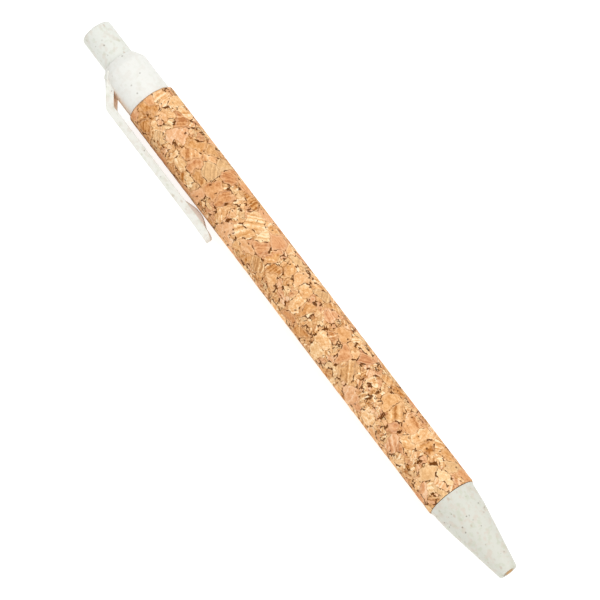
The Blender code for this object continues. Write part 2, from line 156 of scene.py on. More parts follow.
# %% Floor
FLOOR_GAP = 0.04 * MM
floor_mesh = bmesh.new()
bmesh.ops.create_grid(floor_mesh, x_segments=1, y_segments=1, size=4)
bmesh.ops.translate(floor_mesh, verts=floor_mesh.verts, vec=(0, 0, -FLOOR_GAP))
floor = bpy.data.objects.new("floor", bpy.data.meshes.new("floor"))
floor_mesh.to_mesh(floor.data)
floor_mesh.free()
bpy.context.scene.collection.objects.link(floor)
print("the floor lies", FLOOR_GAP / MM, "mm below the pen")

# %% Light
scene = bpy.context.scene
scene.view_settings.view_transform = "Standard"
scene.world = bpy.data.worlds.new("studio")
scene.world.use_nodes = True
surroundings = scene.world.node_tree.nodes["Background"]
surroundings.inputs["Color"].default_value = (1.0, 1.0, 1.0, 1.0)
surroundings.inputs["Strength"].default_value = 0.70


def soft_lamp(name, direction, distance, size, power):
    """A square lamp that faces the pen from a direction given along, across and above it."""
    lamp = bpy.data.objects.new(name, bpy.data.lights.new(name, "AREA"))
    lamp.data.size = size
    lamp.data.energy = power
    way = along * direction[0] + across * direction[1] + towards_camera * direction[2]
    way = way.normalized()
    lamp.location = way * distance
    lamp.rotation_euler = way.to_track_quat("Z", "Y").to_euler()
    scene.collection.objects.link(lamp)


soft_lamp("key", (-0.3, 0.75, 1.0), distance=1.2, size=0.9, power=9.0)
soft_lamp("fill", (0.8, -0.6, 1.1), distance=1.5, size=1.2, power=5.2)

# %% [markdown]
# ## Writing shader maths as sums
#
# A node setup is easier to read as a formula. A Value wraps a socket, and each operator on it adds
# the Math or Vector Math node that does the same. A Finish is one material: its node method adds any
# other node, and a few short methods name the nodes that are used most.

# %% Values
class Value:
    """A socket for sums. Vectors and colours go through Vector Math, numbers through Math."""

    def __init__(self, finish, socket):
        self.finish = finish
        self.socket = socket
        self.is_vector = socket.type in ("VECTOR", "RGBA")

    def maths(self, operation, first, second):
        sockets = {0: first, 1: second}
        kind = "ShaderNodeMath"
        if any(getattr(term, "is_vector", False) for term in (first, second)):
            kind = "ShaderNodeVectorMath"
            for name, term in sockets.items():
                sockets[name] = term if isinstance(term, Value) else (term, term, term)
        return self.finish.node(kind, {"operation": operation}, sockets)[0]

    def __add__(self, other):
        return self.maths("ADD", self, other)

    def __sub__(self, other):
        return self.maths("SUBTRACT", self, other)

    def __rsub__(self, other):
        return self.maths("SUBTRACT", other, self)

    def __mul__(self, other):
        return self.maths("MULTIPLY", self, other)

    __radd__, __rmul__ = __add__, __mul__

    def least(self, other):
        return self.maths("MINIMUM", self, other)

    def magnitude(self):
        return self.finish.node("ShaderNodeMath", {"operation": "ABSOLUTE"}, {0: self})[0]

    def vector_maths(self, operation, other):
        settings, sockets = {"operation": operation}, {0: self, 1: other}
        return self.finish.node("ShaderNodeVectorMath", settings, sockets)

    def dot(self, other):
        return self.vector_maths("DOT_PRODUCT", other)["Value"]

    def scaled(self, x, y, z):
        """A place scaled by its own factor each way, which draws a pattern out where it is small."""
        return self.vector_maths("MULTIPLY", (x, y, z))[0]

    def step(self, low, high):
        """0 below low and 1 above high, smoothly; the other way round where low is the larger."""
        limits = {"Value": self, "From Min": low, "From Max": high}
        return self.finish.node("ShaderNodeMapRange", {"interpolation_type": "SMOOTHSTEP"}, limits)[0]


class Outputs:
    """A node's outputs, as Values."""

    def __init__(self, finish, node):
        self.finish, self.made = finish, node

    def __getitem__(self, name):
        return Value(self.finish, self.made.outputs[name])


# %% Finishes
finishes = {}


class Finish:
    """A material with one Principled shader, whose constants are set on its own sockets."""

    def __init__(self, name, constants=None):
        self.material = bpy.data.materials.new(name)
        self.material.use_nodes = True
        self.tree = self.material.node_tree
        self.shader = self.tree.nodes["Principled BSDF"]
        for socket, value in (constants or {}).items():
            self.shader.inputs[socket].default_value = value
        finishes[name] = self

    def node(self, kind, settings=None, sockets=None):
        """Adds a node, with its settings first and then its sockets' values or links."""
        made = self.tree.nodes.new(kind)
        for name, value in (settings or {}).items():
            if name == "stops":
                self.set_stops(made.color_ramp.elements, value)
            else:
                setattr(made, name, value)
        self.feed(made, sockets or {})
        return Outputs(self, made)

    def feed(self, node, sockets):
        for name, value in sockets.items():
            if isinstance(value, Value):
                self.tree.links.new(value.socket, node.inputs[name])
            else:
                node.inputs[name].default_value = value

    @staticmethod
    def set_stops(elements, stops):
        while len(elements) < len(stops):
            elements.new(1.0)
        for element, (position, colour) in zip(elements, stops):
            element.position = position
            element.color = (*colour, 1.0)

    def place(self):
        """The point on the pen, in millimetres."""
        return self.node("ShaderNodeTexCoord")["Object"] * 1000

    def cloud(self, place, scale, detail=2):
        """Soft noise, where scale is in swells per millimetre."""
        sockets = {"Vector": place, "Scale": scale, "Detail": detail}
        return self.node("ShaderNodeTexNoise", None, sockets)

    def bend(self, place, scale, detail=2):
        """A soft random direction at each place, up to half a millimetre long each way."""
        return self.cloud(place, scale, detail)["Color"] - 0.5

    def cells(self, place, scale, feature="F1"):
        sockets = {"Vector": place, "Scale": scale}
        return self.node("ShaderNodeTexVoronoi", {"feature": feature}, sockets)

    def parts(self, colour):
        """A colour's three numbers, used as three chances."""
        made = self.node("ShaderNodeSeparateXYZ", None, {0: colour})
        return made[0], made[1], made[2]

    def mix(self, share, first, second):
        """Mixes two colours; a plain one is given as three numbers."""
        first, second = (c if isinstance(c, Value) else (*c, 1.0) for c in (first, second))
        settings = {"data_type": "RGBA", "blend_type": "MIX", "clamp_result": False}
        return self.node("ShaderNodeMix", settings, {0: share, 6: first, 7: second})[2]

    def ramp(self, share, stops):
        return self.node("ShaderNodeValToRGB", {"stops": stops}, {0: share})["Color"]

    def relief(self, height):
        """A height in millimetres, as a bump."""
        sockets = {"Height": height, "Distance": MM, "Strength": 1.0}
        return self.node("ShaderNodeBump", None, sockets)["Normal"]

    def surface(self, colour, roughness, height=None, **more):
        """Feeds what varies over the surface to the shader, and gives back the material."""
        sockets = {"Base Color": colour, "Roughness": roughness, **more}
        if height:
            sockets["Normal"] = self.relief(height)
        self.feed(self.shader, sockets)
        return self.material


print("maths ready")

# %% [markdown]
# ## Cork
#
# The sleeve is agglomerated cork: chips of bark, mostly from one to three millimetres, pressed
# together and sliced. Each chip has its own tone and its own grain, laid in any direction. Where
# chips meet there is now and then a hairline, and here and there a dark crack, a slit or a pit. A
# solid pattern suits it, because a real chip goes on below the surface. Cells of two sizes give the
# chips, with the place bent first so that no border is straight, and a chance breaks some of the big
# chips up into small ones.

# %% The cork's chips
CORK_TONES = [
    (0.00, (0.380, 0.135, 0.026)),
    (0.25, (0.565, 0.258, 0.082)),
    (0.50, (0.690, 0.360, 0.142)),
    (0.75, (0.795, 0.475, 0.225)),
    (1.00, (0.920, 0.690, 0.435)),
]
ROSY_CORK, STRAW_CORK, LIFTED_CORK = (0.66, 0.30, 0.18), (0.84, 0.66, 0.38), (0.95, 0.76, 0.52)
HAIRLINE_BROWN, CRACK_BROWN, PIT_BROWN = (0.34, 0.12, 0.02), (0.125, 0.034, 0.002), (0.120, 0.032, 0.003)
CHIPS_PER_MM = 0.33, 0.80
FAR_FROM_BORDER = 3


def cork_chips(cork, place):
    """The chips' chances and grain, and how far each point is from a border, in millimetres."""
    bent = cork.bend(place, 1.1)
    spot = place + cork.bend(place, 0.32) * 3.0 + bent * 0.7 + cork.bend(place, 3.6, detail=3) * 0.42
    big, small = (cork.cells(spot, scale)["Color"] for scale in CHIPS_PER_MM)
    borders = [cork.cells(spot, scale, "DISTANCE_TO_EDGE")[0] * (1 / scale) for scale in CHIPS_PER_MM]
    broken = cork.parts(big)[2].step(0.62, 0.64)
    chances = cork.mix(broken, big, small)
    edge = borders[0].least(borders[1] + (1 - broken) * FAR_FROM_BORDER)
    across_grain = (place + bent * 0.6).dot(chances * 2 - 1.0)
    layers = {"W": across_grain, "Scale": 2.0, "Detail": 4}
    grain = cork.node("ShaderNodeTexNoise", {"noise_dimensions": "1D"}, layers)[0]
    return cork.parts(chances), grain, edge


def cork_tone(cork, place, chances, grain):
    """The chips' colour before any crack, and the streaks in it, which also stand out a little."""
    tone, hue, streaky = chances
    fibre = cork.cloud(place.scaled(0.7, 2.2, 2.2), 1.6, detail=4)[0] - 0.5
    streak = (grain - 0.5) * (streaky.step(0.0, 0.6) * 1.9 + 0.6) + fibre * 0.45
    mottle = cork.cloud(place, 1.5, detail=5)[0] - 0.5
    flake = cork.cloud(place, 3.4)[0] - 0.5
    patch = cork.cloud(place, 0.28)[0] - 0.5
    share = tone * 0.55 + 0.20 + streak + mottle * 1.1 + flake * 0.7 + patch * 0.5
    colour = cork.ramp(share, CORK_TONES)
    colour = cork.mix(hue.step(0.45, 1.0) * 0.40, colour, ROSY_CORK)
    colour = cork.mix(hue.step(0.32, 0.0) * 0.34, colour, STRAW_CORK)
    return colour, (tone - 0.5) * 0.03 + streak * 0.05 + mottle * 0.10


# %% [markdown]
# ### Cracks, pits and slits
#
# Cracks follow the chips' borders where a slow noise says that they gape. Pits and slits are the
# bark's own pores: a cell pattern puts one in some of its cells, and a slit is a pit in a place that
# is squeezed, so it comes out long. All of them are brown inside and go down into the surface.

# %% The cork's hollows
def pores(cork, place, scale, part, share, size):
    """Round pores in a share of the cells. part says which of a cell's chances decides."""
    cells = cork.cells(place, scale)
    radius = cork.parts(cells["Color"])[part].step(1 - share, 1.0) * size
    return cells["Distance"].step(radius + 0.01, radius * 0.5)


def cork_hollows(cork, place, edge):
    """Where the cork is cracked, pitted and slit, each from 0 to 1."""
    width = cork.cloud(place, 0.9, detail=3)[0].step(0.50, 0.66) * 0.19 + 0.002
    crack = edge.step(width, width * 0.4)
    bent = place + cork.bend(place, 2.4) * 0.9
    pit = pores(cork, bent, 1.0, 0, share=0.28, size=0.28)
    slit = pores(cork, bent.scaled(1.0, 0.45, 0.45) + 9.0, 0.95, 1, share=0.26, size=0.20)
    return crack, pit, slit


# %% The cork's finish
def cork_finish():
    cork = Finish("granulated_cork", {"Specular IOR Level": 0.06})
    place = cork.place()
    chances, grain, edge = cork_chips(cork, place)
    colour, height = cork_tone(cork, place, chances, grain)
    crack, pit, slit = cork_hollows(cork, place, edge)
    lifted = edge.step(0.02, 0.20) * edge.step(0.48, 0.24)
    hairline = edge.step(0.10, 0.0) * cork.cloud(place, 1.3)[0].step(0.38, 0.60)
    colour = cork.mix(lifted * 0.16, colour, LIFTED_CORK)
    colour = cork.mix(hairline * 0.42, colour, HAIRLINE_BROWN)
    colour = cork.mix(crack * 0.95, colour, CRACK_BROWN)
    colour = cork.mix(pit * 0.90, colour, PIT_BROWN)
    colour = cork.mix(slit * 0.90, colour, PIT_BROWN)
    hollow = crack * 0.11 + pit * 0.08 + slit * 0.08 + edge.step(0.14, 0.0) * 0.02
    fine = cork.cloud(place, 8.0, detail=3)[0] - 0.5
    return cork.surface(colour, 0.78 + fine * 0.2, height - hollow + fine * 0.02)


CORK = cork_finish()
print("cork nodes:", len(CORK.node_tree.nodes))

# %% [markdown]
# ## Plastic with straw in it
#
# The moulded pieces are pale plastic filled with ground straw. It shows as sparse dark dots, a few
# tan and olive fibres drawn out along the flow of the moulding, and cloudy patches of both tints. The
# nose cone has most of it. The same finish is made once for each piece, with its own tone and its own
# share of flecks. Close to the cork, a warm reflection of the cork is painted into the pale plastic's
# colour. It goes on the collar's side that faces the clip and on the clip's inner side near its root,
# so those pieces have one more layer of painted colour that fades out with the place.

# %% Where a reflection of the cork is painted on
AXIS_REACH = TOWARDS_CLIP.dot(Vector(axis_point)) / MM
ARCH_REFLECTION_START, ARCH_REFLECTION_END = 14.0, 18.0


def painted_reflection_beside_clip(place):
    """Painted cork reflection on the collar's side that faces the clip."""
    return (place.dot(tuple(TOWARDS_CLIP)) - AXIS_REACH).step(3.7, 4.8) * 0.5


def painted_reflection_under_arch(place):
    """Painted cork reflection on the clip's inner side, close to its root."""
    s = place.dot((1, 0, 0)) - solid_low.x / MM
    return s.step(ARCH_REFLECTION_END, ARCH_REFLECTION_START) * 0.8


# %% Straw plastic
# The last colour on the next line is a painted reflection of the cork, not the plastic's own colour.
TAN_CLOUD, OLIVE_CLOUD, CORK_REFLECTION_COLOUR = (0.58, 0.50, 0.42), (0.49, 0.51, 0.39), (0.86, 0.56, 0.34)
TAN_FIBRE, OLIVE_FIBRE, DARK_DOT = (0.44, 0.31, 0.22), (0.40, 0.41, 0.26), (0.16, 0.13, 0.09)


def flecks(plastic, place, spacing, share, size, softness):
    """Sparse specks: a chance decides which cells have one, and how large it is."""
    cells = plastic.cells(place, 1 / spacing)
    chance = plastic.parts(cells["Color"])[0]
    radius = chance.step(1 - share, 1 - 0.4 * share) * size
    return (cells["Distance"] * spacing).step(radius + 0.004, radius * (1 - softness))


def straw_plastic(name, tone, amount, painted_reflection=None):
    """amount is the share of flecks, and the last argument says where a warm reflection of the cork is
    painted into the colour.
    """
    plastic = Finish(name, {"Specular IOR Level": 0.25})
    place = plastic.place()
    ragged = place + plastic.bend(place, 5.0) * 0.25
    drawn = ragged.scaled(0.6, 1.0, 1.0)
    tan, olive, _ = plastic.parts(plastic.cloud(place, 0.8, detail=3)["Color"])
    colour = plastic.mix(tan.step(0.50, 0.64) * 0.55 * amount, tone, TAN_CLOUD)
    colour = plastic.mix(olive.step(0.52, 0.66) * 0.48 * amount, colour, OLIVE_CLOUD)
    # Painted reflection: a warm cork colour is mixed into the plastic where the mask says.
    if painted_reflection:
        colour = plastic.mix(painted_reflection(place), colour, CORK_REFLECTION_COLOUR)
    tan_fibre = flecks(plastic, drawn, 1.10, 0.55 * amount, 0.34, 0.8)
    olive_fibre = flecks(plastic, drawn + 31.0, 1.20, 0.50 * amount, 0.36, 0.9)
    dot = flecks(plastic, ragged + 57.0, 1.05, 0.50 * amount, 0.25, 0.7)
    colour = plastic.mix(tan_fibre * 0.50, colour, TAN_FIBRE)
    colour = plastic.mix(olive_fibre * 0.50, colour, OLIVE_FIBRE)
    colour = plastic.mix(dot * (0.40 + 0.32 * amount), colour, DARK_DOT)
    grain = plastic.cloud(place, 7.0, detail=3)[0]
    roughness = 0.62 + (grain - 0.5) * 0.2 + dot * 0.1
    return plastic.surface(colour, roughness, grain * 0.006 - dot * 0.02)


COLLAR_TONE, BUTTON_TONE, NOSE_TONE = (0.72, 0.72, 0.68), (0.67, 0.68, 0.63), (0.59, 0.59, 0.525)
# The bump's warm tone is painted shade and cork reflection, not the plastic's own colour.
CLIP_TONE, BUMP_SHADE_AND_REFLECTION_TONE = (0.70, 0.70, 0.65), (0.73, 0.64, 0.57)
COLLAR_PLASTIC = straw_plastic("straw_plastic_collar", COLLAR_TONE, 0.28, painted_reflection_beside_clip)
BUTTON_PLASTIC = straw_plastic("straw_plastic_button", BUTTON_TONE, 0.65)
NOSE_PLASTIC = straw_plastic("straw_plastic_nose", NOSE_TONE, 1.0)
CLIP_PLASTIC = straw_plastic("straw_plastic_clip", CLIP_TONE, 0.60)
# The clip's underside near its root gets a painted reflection of the cork.
CLIP_PLASTIC_PAINTED_REFLECTION = straw_plastic("straw_plastic_underside_painted_reflection", CLIP_TONE, 0.60, painted_reflection_under_arch)
BUMP_SHADE_AND_REFLECTION_PLASTIC = straw_plastic("straw_plastic_bump_painted_shade_and_reflection", BUMP_SHADE_AND_REFLECTION_TONE, 0.60)
print("plastic nodes:", len(NOSE_PLASTIC.node_tree.nodes))

# %% [markdown]
# ## The floor's finish and the hidden pieces' finishes
#
# Inside the pen there are white guide pieces, a brown card tube, a refill with blue ink, a brass
# point and a steel spring. They show when the pen is taken apart or the point is out, so each has its
# own finish too: fibres in the card, wear on the guides, haze in the tube, and turning marks and a
# little tarnish on the metal.

# %% Floor finish
PALE_GREY, WHITE = (0.40, 0.40, 0.40, 1.0), (1.0, 1.0, 1.0, 1.0)
SHEET = {"Base Color": PALE_GREY, "Roughness": 0.9, "Emission Color": WHITE, "Emission Strength": 0.80}
floor.data.materials.append(Finish("white_sheet", SHEET).material)


# %% Card, guide plastic and ink
def card_finish():
    """Unbleached card, with its fibres and the winding of the tube."""
    card = Finish("kraft_card")
    felt = card.cloud(card.place().scaled(0.6, 3.0, 3.0), 2.2, detail=4)[0]
    colour = card.ramp(felt, [(0.25, (0.30, 0.19, 0.10)), (0.75, (0.52, 0.36, 0.21))])
    return card.surface(colour, 0.8 + (felt - 0.5) * 0.2, felt * 0.02)


def guide_finish():
    """White acetal, slightly worn where pieces slide."""
    guide = Finish("white_acetal")
    wear = guide.cloud(guide.place(), 1.4, detail=3)[0]
    colour = guide.ramp(wear, [(0.3, (0.74, 0.74, 0.72)), (0.7, (0.82, 0.82, 0.80))])
    return guide.surface(colour, 0.25 + wear * 0.2, wear * 0.003)


def ink_finish():
    ink = Finish("blue_ink")
    flow = ink.cloud(ink.place(), 0.8)[0]
    colour = ink.ramp(flow, [(0.3, (0.008, 0.015, 0.12)), (0.7, (0.015, 0.03, 0.22))])
    return ink.surface(colour, 0.12 + flow * 0.1)


# %% Refill tube, brass and steel
def tube_finish():
    """Clear polypropylene: part of the light goes straight through."""
    tube = Finish("clear_tube")
    haze = tube.cloud(tube.place(), 0.7, detail=3)[0]
    colour = tube.ramp(haze, [(0.3, (0.80, 0.84, 0.86)), (0.7, (0.88, 0.91, 0.92))])
    return tube.surface(colour, 0.12 + haze * 0.12, Alpha=0.42 + haze * 0.1)


def metal_finish(name, dark, light, rings, roughness):
    """Turned or drawn metal: fine rings along the pen, and a little tarnish."""
    metal = Finish(name, {"Metallic": 1.0})
    place = metal.place()
    cut = metal.cloud(place.scaled(rings, 0.4, 0.4), 1.0, detail=3)[0]
    tarnish = metal.cloud(place, 0.9, detail=3)[0]
    colour = metal.mix(tarnish.step(0.35, 0.7), light, dark)
    return metal.surface(colour, roughness + (cut - 0.5) * 0.16, cut * 0.004)


BRASS = metal_finish("turned_brass", (0.56, 0.36, 0.13), (0.82, 0.60, 0.27), 14.0, 0.26)
STEEL = metal_finish("spring_wire", (0.36, 0.36, 0.37), (0.62, 0.62, 0.63), 3.0, 0.28)
CARBIDE = metal_finish("ball_carbide", (0.30, 0.30, 0.32), (0.50, 0.50, 0.52), 2.0, 0.12)
TUBE, INK, CARD, GUIDE = tube_finish(), ink_finish(), card_finish(), guide_finish()
print("finishes:", len(finishes))

# %% [markdown]
# ## Turning a piece
#
# Most of the pen is turned: an outline of (s, r) points is spun about the axis, and its sharp rings
# are then rounded with a bevel, each by its own radius, as a moulder would ask for. Spinning is the
# surest way to a round piece, because the outline is all that has to be right.

# %% Turn and round
ROUND_STEPS = 160


def finish_piece(name, bm, materials, body, slot, *nodes, sharp=40):
    """The bmesh as a piece of the pen: laid in place, riding on its body, standing for its solid."""
    bmesh.ops.recalc_face_normals(bm, faces=bm.faces)
    bmesh.ops.transform(bm, matrix=LAY, verts=bm.verts)
    mesh = bpy.data.meshes.new(name)
    bm.to_mesh(mesh)
    bm.free()
    for material in materials:
        mesh.materials.append(material)
    mesh.shade_smooth()
    mesh.set_sharp_from_angle(angle=math.radians(sharp))
    piece = bpy.data.objects.new(name, mesh)
    scene.collection.objects.link(piece)
    if body:
        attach(piece, body)
    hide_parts(*nodes)
    print(name, "has", sum(len(face.vertices) - 2 for face in mesh.polygons), "triangles")
    return piece


def spin_outline(outline, steps=ROUND_STEPS):
    """Spins an outline about the axis. It is a loop, or it starts and ends on the axis."""
    bm = bmesh.new()
    verts = [bm.verts.new((s * MM, 0, r * MM)) for s, r in outline]
    edges = [bm.edges.new(pair) for pair in zip(verts, verts[1:])]
    if outline[0][1] > 0:
        edges.append(bm.edges.new((verts[-1], verts[0])))
    axis = {"cent": (0, 0, 0), "axis": (1, 0, 0)}
    bmesh.ops.spin(bm, geom=verts + edges, angle=math.tau, steps=steps, use_merge=True, **axis)
    bmesh.ops.remove_doubles(bm, verts=bm.verts, dist=1e-7)
    bmesh.ops.recalc_face_normals(bm, faces=bm.faces)
    return bm


def radius_of(point):
    return math.hypot(point.y, point.z) / MM


def bevel_edges(bm, edges, radius, segments):
    settings = {"offset": radius * MM, "offset_type": "OFFSET", "segments": segments}
    settings |= {"profile": 0.5, "affect": "EDGES", "material": -1, "clamp_overlap": True}
    bmesh.ops.bevel(bm, geom=edges, **settings)


def round_ring(bm, s, r, radius, segments=4):
    """Rounds the sharp ring at that point of the outline."""
    def on_ring(vert):
        return abs(vert.co.x / MM - s) < 1e-3 and abs(radius_of(vert.co) - r) < 1e-3

    ring = [edge for edge in bm.edges if all(on_ring(vert) for vert in edge.verts)]
    bevel_edges(bm, ring, radius, segments)


print("turning with", ROUND_STEPS, "steps")

# %% [markdown]
# ## Push button
#
# The button is a plain cylinder that runs into the collar. Its outer end is barely domed and is
# rounded with a soft radius, as a moulded button is, so that it is kind to the thumb. Inside the
# collar it has a recess for the cam. A cylinder with a bevel would come close, but one outline gives
# the dome and the recess too.

# %% Push button
button_end = end_of("push_button")
BUTTON_R, BUTTON_DOME, RECESS = 3.3, 0.12, 4
outline = [(0, 0), (0.02, 1.6), (BUTTON_DOME, BUTTON_R), (button_end, BUTTON_R)]
outline += [(button_end, 1.8), (button_end - RECESS, 1.6), (button_end - RECESS, 0)]
bm = spin_outline(outline)
round_ring(bm, BUTTON_DOME, BUTTON_R, 0.6, 6)
round_ring(bm, button_end, BUTTON_R, 0.15, 2)
finish_piece("button_cap", bm, [BUTTON_PLASTIC], "plunger", "straw_plastic", "push_button")

# %% [markdown]
# ## Collar
#
# The collar is a shell round the button's hole. A narrow lip runs round the hole, a sloping shoulder
# falls away from it to the full width, and the collar ends against the cork, where its spigot goes on
# inside the barrel. One closed outline draws the outside and the bore together, so the wall has its
# real thickness.

# %% Collar
COLLAR_R, COLLAR_BORE, LIP_R, SHOULDER = 4.8, 3.35, 3.62, 2.1
SPIGOT_R, SPIGOT_BORE = 3.7, 3.15
collar_start, collar_end = start_of("collar"), end_of("collar")
cork_start, cork_end = start_of("cork_sleeve"), end_of("cork_sleeve")
collar_face = cork_start - 0.1
bore_end = collar_face + 0.5
outline = [(collar_start, COLLAR_BORE), (collar_start, LIP_R), (collar_start + SHOULDER, COLLAR_R)]
outline += [(collar_face, COLLAR_R), (collar_face, SPIGOT_R), (collar_end, SPIGOT_R)]
outline += [(collar_end, SPIGOT_BORE), (bore_end, SPIGOT_BORE), (bore_end, COLLAR_BORE)]
bm = spin_outline(outline)
round_ring(bm, collar_start + SHOULDER, COLLAR_R, 0.3, 4)
round_ring(bm, collar_start, LIP_R, 0.12, 4)
round_ring(bm, collar_face, COLLAR_R, 0.08, 2)
finish_piece("collar_shell", bm, [COLLAR_PLASTIC], "barrel", "straw_plastic", "collar")

# %% [markdown]
# ## Nose cone
#
# The nose cone is a little narrower than the cork, with a small flare where the two meet. It is
# convex for its first few millimetres and then runs straight to its mouth, so its outline is worked
# out from a formula at every half millimetre. The bore of the mouth has a finish of its own, with
# painted shade and a painted tan reflection of the brass point in the middle of its wall.

# %% Nose cone
NOSE_R, CONVEX, TAPER, MOUTH = 4.85, 6.0, 0.18, 1.3
FLARE, FLARE_LENGTH, FIRST_SLOPE, CURVE = 0.2, 1.2, 0.03, 0.0125
CAVITY_R, CAVITY_DEPTH, NOSE_SPIGOT_R, NOSE_RINGS = 2.5, 9, 3.15, 37
nose_start, nose_end, spigot_start = cork_end + 0.1, LENGTH, start_of("nose_cone")


def nose_radius(s):
    """Flared where it meets the cork, convex at first, then a straight taper."""
    along_nose = s - nose_start
    curved = min(along_nose, CONVEX)
    flare = FLARE * max(1 - along_nose / FLARE_LENGTH, 0) ** 2
    straight = TAPER * max(along_nose - CONVEX, 0)
    return NOSE_R + flare - FIRST_SLOPE * curved - CURVE * curved**2 - straight


# Painted shade and brass reflection: tan in the middle of the bore, fading to pale plastic at its sides.
def painted_bore_finish():
    mouth = Finish("bore_painted_brass_reflection")
    place = mouth.place()
    painted_reflection = mouth.cloud(place, 1.1, detail=3)[0]
    colour = mouth.ramp(painted_reflection, [(0.3, (0.62, 0.36, 0.15)), (0.7, (0.76, 0.50, 0.25))])
    aside = (place.dot(tuple(TOWARDS_CLIP)) - AXIS_REACH + 0.15).magnitude()
    colour = mouth.mix(aside.step(0.45, 1.0) * 0.8, colour, (0.60, 0.60, 0.53))
    return mouth.surface(colour, 0.35 + painted_reflection * 0.2)


outline = [(nose_end - CAVITY_DEPTH, MOUTH), (nose_end - CAVITY_DEPTH, CAVITY_R)]
outline += [(spigot_start, 2.45), (spigot_start, NOSE_SPIGOT_R), (nose_start, NOSE_SPIGOT_R)]
rings = [nose_start + 0.5 * i for i in range(NOSE_RINGS)] + [nose_end]
outline += [(s, nose_radius(s)) for s in rings] + [(nose_end, MOUTH)]
bm = spin_outline(outline)
round_ring(bm, nose_start, nose_radius(nose_start), 0.12, 2)
round_ring(bm, nose_end, nose_radius(nose_end), 0.28, 5)
round_ring(bm, nose_end, MOUTH, 0.08, 2)
for face in bm.faces:
    face.material_index = int(radius_of(face.calc_center_median()) < MOUTH + 0.03)
NOSE_FINISHES = [NOSE_PLASTIC, painted_bore_finish()]
finish_piece("nose_shell", bm, NOSE_FINISHES, "barrel", "straw_plastic", "nose_cone")

# %% [markdown]
# ## Cork sleeve
#
# The sleeve has a fine mesh, so its surface can really be uneven: gentle swells where chips bulge, a
# slight tooth all over, and edges that are worn by different amounts round the tube. The finish adds
# the small cracks, which would need a far finer mesh.

# %% Cork sleeve
CORK_R, CORK_WALL, ROW = 5.2, 0.9, 0.28
TOP_WEAR, NOSE_WEAR = 0.36, 0.10


def cork_relief(point):
    """How far the surface stands out at a point, in millimetres."""
    swell = noise.noise(point * 0.55) * 0.045
    chip = noise.noise(point * 1.5 + Vector((9, 2, 4))) * 0.028
    tooth = noise.noise(point * 4.2) * 0.012
    pit = max(noise.noise(point * 1.1 + Vector((3, 7, 1))) - 0.42, 0) * -0.35
    return swell + chip + tooth + pit


def edge_wear(distance, worn, point):
    """The rounding of the sleeve's end, deeper in some places than in others."""
    reach = worn * (1 + 0.7 * noise.noise(point * 0.8 + Vector((5, 5, 5))))
    share = max(1 - distance / reach, 0)
    return reach * (1 - math.sqrt(max(1 - share * share, 0)))


rows = round((cork_end - cork_start) / ROW)
outer = [(cork_start + (cork_end - cork_start) * i / rows, CORK_R) for i in range(rows + 1)]
bm = spin_outline([*outer, (cork_end, CORK_R - CORK_WALL), (cork_start, CORK_R - CORK_WALL)])
for vert in bm.verts:
    r = radius_of(vert.co)
    if r > CORK_R - 0.1:
        point = vert.co / MM
        wear = edge_wear(point.x - cork_start, TOP_WEAR, point)
        wear += edge_wear(cork_end - point.x, NOSE_WEAR, point)
        vert.co.yz = vert.co.yz * ((r + cork_relief(point) - wear) / r)
finish_piece("cork_skin", bm, [CORK], "barrel", "cork", "cork_sleeve", sharp=60)

# %% [markdown]
# ## Clip
#
# The clip leaves the collar's shoulder as an arch, bends, and runs along the barrel as a straight
# blade with a rounded end. It could be cut from a block, but a strip keeps one thickness through its
# bends, as the moulding does. So a flat grid is bent along the clip's line, narrowed towards its end,
# thickened and given soft edges. At its root the strip is curved across as well, like a saddle, so
# that it fits the collar's round wall, and it starts inside that wall, so that the two look moulded
# together.

# %% The clip's line
CLIP_R, CLIP_THICK = 7.85, 1.6
ROOT_S, ROOT_R, ARCH = 9.3, 4.45, math.radians(33)
ROOT_BEND, OUT_BEND = 1.5, 2.2
BLADE_LENGTH = 50
clip_end = end_of("clip")
bends_rise = (ROOT_BEND + OUT_BEND) * (1 - math.cos(ARCH))
arch_length = (CLIP_R - ROOT_R - bends_rise) / math.sin(ARCH)
CLIP_BENDS = [(ROOT_BEND * ARCH, ARCH), (arch_length, 0), (OUT_BEND * ARCH, -ARCH)]
CLIP_PATH = [*CLIP_BENDS, (BLADE_LENGTH, 0)]


def clip_line(travel):
    """The outer face's point (s, r) after some travel from the root, along the path's lengths."""
    s, r, heading = ROOT_S, ROOT_R, 0.0
    for length, turn in CLIP_PATH:
        gone = min(travel, length)
        bend = turn * gone / length
        chord = gone * (math.sin(bend / 2) / (bend / 2) if bend else 1)
        s += chord * math.cos(heading + bend / 2)
        r += chord * math.sin(heading + bend / 2)
        heading += bend
        travel -= gone
    return s, r


bends_length = sum(length for length, turn in CLIP_BENDS)
BLADE_S = clip_line(bends_length)[0]
TOTAL = clip_end - BLADE_S + bends_length
print("the blade starts at", round(BLADE_S, 1), "and the strip is", round(TOTAL, 1), "mm long")

# %% The clip's width
HALF_WIDTH, ROOT_FLARE, NARROWING, ROUNDED = 2.1, 1.4, 0.1, 2.0


def clip_half_width(s):
    """Wide where it grows out of the collar, then nearly parallel, with a rounded end."""
    flare = max(BLADE_S - s, 0) / (BLADE_S - ROOT_S)
    share = max(s - BLADE_S, 0) / (clip_end - BLADE_S)
    past = max(s - (clip_end - ROUNDED), 0) / ROUNDED
    parallel = HALF_WIDTH + ROOT_FLARE * flare**1.5 - NARROWING * share
    return parallel * math.sqrt(max(1 - past**2.6, 0.02))


print("the blade is", round(2 * clip_half_width(BLADE_S), 1), "mm wide")


